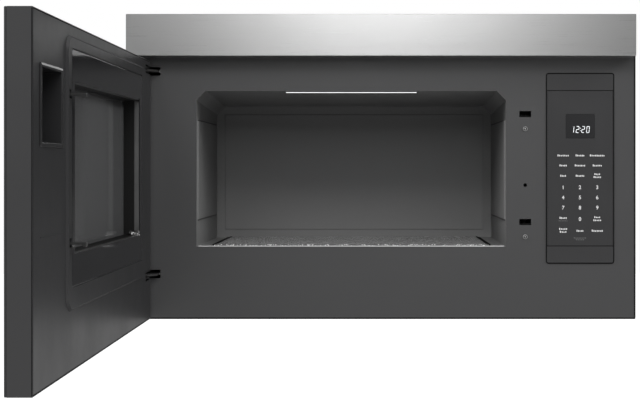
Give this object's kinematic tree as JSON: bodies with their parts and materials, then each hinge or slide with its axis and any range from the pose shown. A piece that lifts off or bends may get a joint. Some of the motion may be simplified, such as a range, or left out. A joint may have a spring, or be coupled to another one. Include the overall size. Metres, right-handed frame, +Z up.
{
  "type": "over the range microwave",
  "caption": "Built-in microwave oven for above a cooktop, its full-width door open on left-hand hinges, with a touch keypad behind the door, an extractor and a stainless top strip.",
  "frame": {"origin": "centre of the casing's rear face, on the wall", "axes": "+X along the wall to the oven's right as seen from the room, +Y into the wall, +Z up; the door faces -Y when shut"},
  "size_m": [0.7632, 1.1349, 0.47],
  "materials": {
    "casing_paint": "satin grey paint",
    "frame_paint": "satin dark grey enamel",
    "stainless": "finely brushed stainless steel",
    "cavity_enamel": "satin mid-grey enamel",
    "ceramic": "pale speckled glass ceramic",
    "seal_rubber": "matte black rubber",
    "aluminised_steel": "plain pressed sheet",
    "lamp_lens": "milky lens",
    "black_gloss": "gloss black",
    "black_satin": "satin black moulding",
    "white_moulding": "plain white moulding",
    "circuit_board": "green board with dark components",
    "hinge_steel": "plain zinc-plated steel",
    "dark_glass": "black glass",
    "clear_glass": "clear glass",
    "door_paint": "satin dark grey enamel",
    "choke_steel": "black enamel",
    "screen_steel": "perforated steel, dark enamel",
    "reveal": "pale grey gasket",
    "latch_plastic": "black moulding",
    "spring_steel": "drawn spring wire",
    "winding": "laminated core with varnished windings",
    "can_metal": "plain aluminium can",
    "filter_mesh": "layered aluminium mesh",
    "fan_plastic": "grey moulding",
    "screw_steel": "zinc-plated steel"
  },
  "bodies": {
    "casing": {"back_panel": "casing_paint", "left_side_panel": "casing_paint", "right_side_panel": "casing_paint", "top_panel": "casing_paint", "base_panel": "casing_paint", "front_frame": "frame_paint", "vent_strip": "stainless", "cavity_liner": "cavity_enamel", "cavity_light_bar": "lamp_lens", "floor_plate": "ceramic", "floor_seals": "seal_rubber", "stirrer_pan": "aluminised_steel", "stirrer_motor": "aluminised_steel", "waveguide": "aluminised_steel", "control_bezel": "black_satin", "keypad_panel": "black_gloss", "display_window": "black_gloss", "control_board": "circuit_board", "latch_board": "black_satin", "door_switches": "black_satin", "hinge_arms": "hinge_steel", "hinge_pins": "hinge_steel", "magnetron": "aluminised_steel", "high_voltage_transformer": "winding", "high_voltage_capacitor": "can_metal", "high_voltage_diode": "black_satin", "cooling_fan_bracket": "aluminised_steel", "cooling_fan_motor": "winding", "noise_filter_board": "circuit_board", "blower_motor": "aluminised_steel", "blower_housings": "aluminised_steel", "exhaust_collar": "aluminised_steel", "cooktop_lamp_lens": "lamp_lens", "cooktop_lamp": "aluminised_steel", "cord_bush": "seal_rubber", "casing_screws": "screw_steel"},
    "stirrer": {"stirrer": "aluminised_steel"},
    "cooling_fan": {"cooling_fan_blade": "fan_plastic"},
    "blower": {"blower_wheels": "fan_plastic", "blower_shaft": "hinge_steel"},
    "exhaust_flap": {"exhaust_flap": "aluminised_steel"},
    "grease_filter_left": {"grease_filter_left": "filter_mesh"},
    "grease_filter_right": {"grease_filter_right": "filter_mesh"},
    "primary_plunger": {"primary_switch_plunger": "white_moulding"},
    "monitor_plunger": {"monitor_switch_plunger": "white_moulding"},
    "secondary_plunger": {"secondary_switch_plunger": "white_moulding"},
    "door": {"door_outer_glass": "dark_glass", "door_shell": "door_paint", "door_inner_skin": "door_paint", "door_pan": "choke_steel", "door_pad": "door_paint", "window_surround": "black_gloss", "window_reveal": "reveal", "door_inner_glass": "clear_glass", "door_screen": "screen_steel", "display_well": "black_gloss", "door_hinge_plates": "hinge_steel", "latch_guide": "black_satin", "latch_spring": "spring_steel"},
    "latch": {"latch_hooks": "latch_plastic"}
  },
  "joints": [
    {"name": "door_hinge", "type": "hinge", "parent": "casing", "child": "door", "pos_m": [-0.3625, -0.394, 0], "axis": [0, 0, 1], "range_deg": [-10, 90]},
    {"name": "latch_lift", "type": "slide", "parent": "door", "child": "latch", "axis": [0, 0, 1], "range_m": [0, 0.0032], "stiffness_N_per_m": 300, "springref_m": -0.004, "deforming": ["latch_spring"]},
    {"name": "primary_plunger_press", "type": "slide", "parent": "casing", "child": "primary_plunger", "axis": [0, 1, 0], "range_m": [0, 0.0015], "stiffness_N_per_m": 150, "springref_m": -0.002},
    {"name": "monitor_plunger_press", "type": "slide", "parent": "casing", "child": "monitor_plunger", "axis": [0, 1, 0], "range_m": [0, 0.0015], "stiffness_N_per_m": 150, "springref_m": -0.002},
    {"name": "secondary_plunger_press", "type": "slide", "parent": "casing", "child": "secondary_plunger", "axis": [0, 1, 0], "range_m": [0, 0.0015], "stiffness_N_per_m": 150, "springref_m": -0.002},
    {"name": "stirrer_spin", "type": "hinge", "parent": "casing", "child": "stirrer", "pos_m": [-0.04435, -0.224, -0.13], "axis": [0, 0, 1], "continuous": true},
    {"name": "cooling_fan_spin", "type": "hinge", "parent": "casing", "child": "cooling_fan", "pos_m": [0.286, -0.055, -0.07], "axis": [0, 1, 0], "continuous": true},
    {"name": "blower_spin", "type": "hinge", "parent": "casing", "child": "blower", "pos_m": [0, -0.072, 0.164], "axis": [1, 0, 0], "continuous": true},
    {"name": "exhaust_flap_swing", "type": "hinge", "parent": "casing", "child": "exhaust_flap", "pos_m": [0, -0.0372, 0.232], "axis": [-1, 0, 0], "range_deg": [0, 70]},
    {"name": "grease_filter_left_slide", "type": "slide", "parent": "casing", "child": "grease_filter_left", "axis": [0, 0, -1], "range_m": [0, 0.04]},
    {"name": "grease_filter_right_slide", "type": "slide", "parent": "casing", "child": "grease_filter_right", "axis": [0, 0, -1], "range_m": [0, 0.04]}
  ]
}
